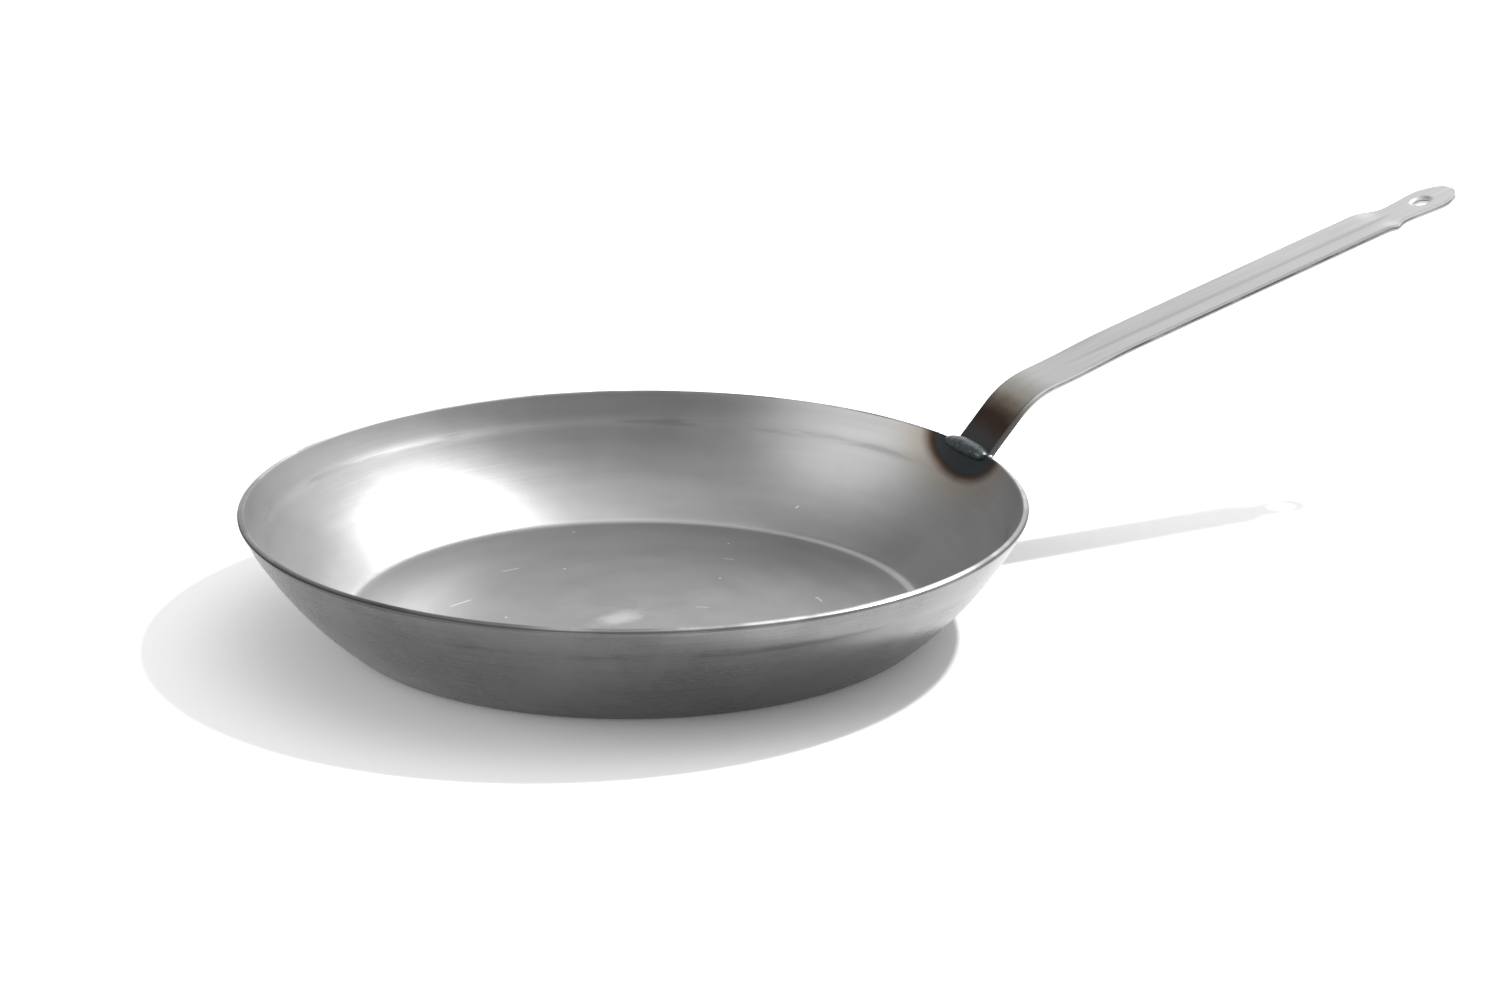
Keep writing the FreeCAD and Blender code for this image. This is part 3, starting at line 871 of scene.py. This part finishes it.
def cut_hole(piece, sizes):
    """Open the middle of the eye to a round hole with a shallow dish round it."""
    corner = leg_corner(sizes)
    run = Vector((math.cos(sizes.leg_slope), 0, math.sin(sizes.leg_slope)))
    up = Vector((-run.z, 0, run.x))
    hole = hole_distance(sizes)
    centre = Vector((corner.x, 0, corner.y)) + run * hole
    side = hole_side(sizes)
    hole_radius = HOLE["dims"]["r_mm"] / 1000

    def inside(p, reach, width):
        return abs((p - centre).dot(run)) < reach and abs(p.y) < width

    select_points(piece, lambda p: inside(p.co, side * 0.7, side * 1.1))
    bpy.ops.mesh.delete(type="VERT")

    def edge_of_hole(point):
        distance = hole + (point.co - centre).dot(run)
        near = point.is_boundary and (point.co - centre).length < sizes.eye_radius * 1.1
        return near and abs(point.co.y) < half_width(sizes, distance) * 0.88

    select_points(piece, edge_of_hole)
    bpy.ops.transform.tosphere(value=1.0)
    mesh = bmesh.from_edit_mesh(piece.data)
    rim = [p.co.copy() for p in mesh.verts if p.select]
    reach = sum((p - centre).length for p in rim) / len(rim)
    scale_about(centre, (sizes.dish_radius / reach,) * 3)
    rings = [(sizes.dish_radius * 0.92, sizes.dish_depth * 0.10),
             (hole_radius * 1.12, sizes.dish_depth * 0.95),
             (hole_radius, sizes.dish_depth * 1.15)]
    last = sizes.dish_radius
    sunk = 0.0
    for radius, depth in rings:
        extrude(tuple(up * (sunk - depth)))
        middle = centre - up * depth
        scale_about(middle, (radius / last,) * 3)
        last = radius
        sunk = depth


class PAN_OT_make_handle(bpy.types.Operator):
    """Make the strip handle: lap, bends, gutter, neck and eye with its hanging hole"""

    bl_idname = "pan.make_handle"
    bl_label = "Make Handle"

    def execute(self, context):
        piece = build_handle(context.scene.handle_sizes)
        smooth(piece)
        hand_over(piece, "handle_strip", strip_steel(context.scene))
        return {"FINISHED"}


# ---------------------------------------------------------------- the welds

def build_bead(name, low, high, radius, sizes, squash, inset, fullness):
    """A bead bent round the pan's axis, swelling and shrinking in ripples, rounded at both ends."""
    clear_selection()
    ring_r = (low.x + high.x) / 2 - inset
    height = high.z - radius - inset * 0.5
    end_inset = radius * 0.35
    half_span = math.asin((high.y - end_inset) / ring_r)
    steps = sizes.steps
    thinnest = 0.004
    swell = []
    for i in range(steps + 1):
        share = i / steps
        taper = math.sqrt(max(1.0 - abs(2.0 * share - 1.0) ** fullness, thinnest))
        ripple = 1.0 + sizes.ripple * math.cos(2.0 * math.pi * sizes.ripples * share) * 0.5
        swell.append(taper * ripple)
    bpy.ops.mesh.primitive_circle_add(vertices=16, radius=radius, location=(ring_r, 0, height),
                                      rotation=(math.pi / 2, 0, 0), fill_type="NOTHING")
    piece = adopt(name)
    bpy.ops.mesh.select_all(action="SELECT")
    bpy.ops.transform.rotate(value=half_span, orient_axis="Z", center_override=(0, 0, 0))
    points = bmesh.from_edit_mesh(piece.data).verts
    world = piece.matrix_world
    side = 1.0 if sum((world @ p.co).y for p in points) > 0 else -1.0
    last = 1.0
    for i, factor in enumerate(swell):
        if i:
            extrude((0, 0, 0))
            bpy.ops.transform.rotate(value=-2.0 * half_span / steps, orient_axis="Z",
                                     center_override=(0, 0, 0))
        turn = side * half_span * (1.0 - 2.0 * i / steps)
        middle = (ring_r * math.cos(turn), ring_r * math.sin(turn), height)
        scale_about(middle, (factor / last,) * 3)
        last = factor
    extrude((0, 0, 0))
    bpy.ops.mesh.merge(type="CENTER")
    # The other end, where the bead began.
    reach = side * ring_r * math.sin(half_span)
    select_points(piece, lambda p: abs((world @ p.co).y - reach) < radius * 0.08)
    extrude((0, 0, 0))
    bpy.ops.mesh.merge(type="CENTER")
    bpy.ops.mesh.select_all(action="SELECT")
    scale_about((ring_r, 0, height), squash)
    outward()
    close_edit()
    bpy.ops.object.transform_apply(location=True, rotation=True, scale=True)
    apply_modifier(piece, "SUBSURF", levels=2, render_levels=2)
    lumps = bpy.data.textures.new(name + "_lumps", "CLOUDS")
    lumps.noise_scale = sizes.lump_size
    apply_modifier(piece, "DISPLACE", texture=lumps, texture_coords="LOCAL",
                   strength=radius * sizes.lump_height, mid_level=0.5)
    return piece


# Drops of spatter: distance past the seam's end, side, height against the rim, share of the full size.
DROPS = (
    (0.0012, -1, -0.00036, 1.0),
    (0.0035, -1, -0.00092, 0.55),
    (0.0018, 1, -0.00080, 0.8),
    (0.0050, 1, -0.00052, 0.45),
)


def build_spatter(sizes, seam_end):
    """A few drops of weld metal thrown beside the ends of the seam, joined as one piece."""
    clear_selection()
    ring = PAN_HIGH.x - 0.0010
    made = []
    for gap, side, height, share in DROPS:
        radius = sizes.spatter_radius * share
        reach = math.asin((seam_end.y + gap) / PAN_HIGH.x) * side
        place = (ring * math.cos(reach), ring * math.sin(reach), PAN_HIGH.z + height)
        bpy.ops.mesh.primitive_ico_sphere_add(subdivisions=3, radius=radius, location=place)
        drop_piece = adopt("drop")
        bpy.ops.mesh.select_all(action="SELECT")
        scale_about(place, (1.0, 1.0, 0.75))
        close_edit()
        made.append(drop_piece)
    for piece in made:
        piece.select_set(True)
    bpy.ops.object.join()
    piece = bpy.context.object
    piece.name = "weld_spatter"
    bpy.ops.object.transform_apply(location=True, rotation=True, scale=True)
    return piece


class PAN_OT_make_welds(bpy.types.Operator):
    """Make the weld beads and the drops of spatter"""

    bl_idname = "pan.make_welds"
    bl_label = "Make Welds"

    def execute(self, context):
        sizes = context.scene.weld_sizes
        metal = weld_metal(context.scene)
        seam = build_bead("weld_seam", SEAM_LOW, SEAM_HIGH, sizes.seam_radius, sizes,
                          squash=(1.15, 1.0, 0.85), inset=sizes.seam_inset, fullness=sizes.seam_fullness)
        smooth(seam, 60.0)
        hand_over(seam, "rim_weld", metal)
        toe = build_bead("weld_toe", TOE_LOW, TOE_HIGH, sizes.toe_radius, sizes,
                         squash=(1.0, 1.0, 0.95), inset=0.0, fullness=sizes.toe_fullness)
        smooth(toe, 60.0)
        hand_over(toe, "toe_weld", metal)
        spatter = build_spatter(sizes, SEAM_HIGH)
        smooth(spatter, 60.0)
        hand_over(spatter, None, metal)
        return {"FINISHED"}


# ---------------------------------------------------------------- floor, light and camera

def point_at(item, target):
    item.rotation_euler = (Vector(target) - item.location).to_track_quat("-Z", "Y").to_euler()


def make_floor(scene):
    clear_selection()
    bpy.ops.mesh.primitive_plane_add(size=scene.stage_settings.floor_size, location=(0, 0, 0))
    floor = bpy.context.object
    floor.name = "floor"
    floor.data.materials.append(floor_paint(scene))


# Soft boxes of the studio: direction, gain, and the cosines where each starts and is full.
SOFT_BOXES = (
    ((0.10, 0.05, 1.00), 0.95, 0.80, 0.99),
    ((0.75, 0.15, 0.55), 0.75, 0.60, 0.97),
    ((0.45, 0.85, 0.35), 0.85, 0.82, 0.97),
    ((-0.85, 0.22, 0.50), 2.10, 0.86, 0.98),
)


def make_sky(scene):
    """A grey studio with soft boxes in it, which the camera itself sees as plain white."""
    world = bpy.data.worlds.new("Studio")
    scene.world = world
    world.use_nodes = True
    graph = Graph(world.node_tree)
    toward = graph.node("ShaderNodeTexCoord", {}, {}).outputs["Generated"]
    light = scene.stage_settings.sky
    for direction, gain, start, full in SOFT_BOXES:
        facing = graph.node("ShaderNodeVectorMath", {"operation": "DOT_PRODUCT"},
                            {0: toward, 1: Vector(direction).normalized()})
        light = Value(graph, facing.outputs["Value"]).ramp(start, full) * gain + light
    seen = Value(graph, graph.node("ShaderNodeLightPath", {}, {}).outputs["Is Camera Ray"])
    background = graph.node("ShaderNodeBackground", {}, {
        "Color": rgba((1.0, 1.0, 1.0)), "Strength": seen + (1.0 - seen) * light})
    graph.node("ShaderNodeOutputWorld", {}, {"Surface": background.outputs[0]})


def make_lights(scene):
    stage = scene.stage_settings
    data = bpy.data.lights.new("key", "AREA")
    data.shape = "DISK"
    data.size = stage.key_size
    data.energy = stage.key_power
    key = bpy.data.objects.new("key", data)
    key.location = stage.key_place
    scene.collection.objects.link(key)
    point_at(key, (0.0, 0.0, 0.0))


def make_camera(scene):
    stage = scene.stage_settings
    data = bpy.data.cameras.new("camera")
    data.lens = stage.lens
    camera = bpy.data.objects.new("camera", data)
    camera.location = stage.place
    scene.collection.objects.link(camera)
    point_at(camera, stage.aim)
    scene.camera = camera


class PAN_OT_set_stage(bpy.types.Operator):
    """Set the floor, the light and the camera"""

    bl_idname = "pan.set_stage"
    bl_label = "Set Stage"

    def execute(self, context):
        scene = context.scene
        make_floor(scene)
        make_sky(scene)
        make_lights(scene)
        make_camera(scene)
        scene.view_settings.view_transform = "Standard"
        return {"FINISHED"}


class PAN_PT_tools(bpy.types.Panel):
    """Lists the pan's operators"""

    bl_idname = "PAN_PT_tools"
    bl_label = "Frying Pan"
    bl_space_type = "VIEW_3D"
    bl_region_type = "UI"
    bl_category = "Frying Pan"

    def draw(self, context):
        for operator in OPERATORS:
            self.layout.operator(operator.bl_idname)


OPERATORS = (PAN_OT_make_body, PAN_OT_make_handle, PAN_OT_make_welds, PAN_OT_set_stage)
GROUPS = {
    "pan_sizes": PanSizes,
    "handle_sizes": HandleSizes,
    "weld_sizes": WeldSizes,
    "finish_colours": FinishColours,
    "stage_settings": StageSettings,
}


def register():
    for name, group in GROUPS.items():
        bpy.utils.register_class(group)
        setattr(bpy.types.Scene, name, PointerProperty(type=group))
    for item in OPERATORS + (PAN_PT_tools,):
        bpy.utils.register_class(item)


def unregister():
    for item in reversed(OPERATORS + (PAN_PT_tools,)):
        bpy.utils.unregister_class(item)
    for name, group in GROUPS.items():
        delattr(bpy.types.Scene, name)
        bpy.utils.unregister_class(group)


def main():
    register()
    bpy.ops.pan.make_body()
    bpy.ops.pan.make_handle()
    bpy.ops.pan.make_welds()
    bpy.ops.pan.set_stage()


if __name__ == "__main__":
    main()
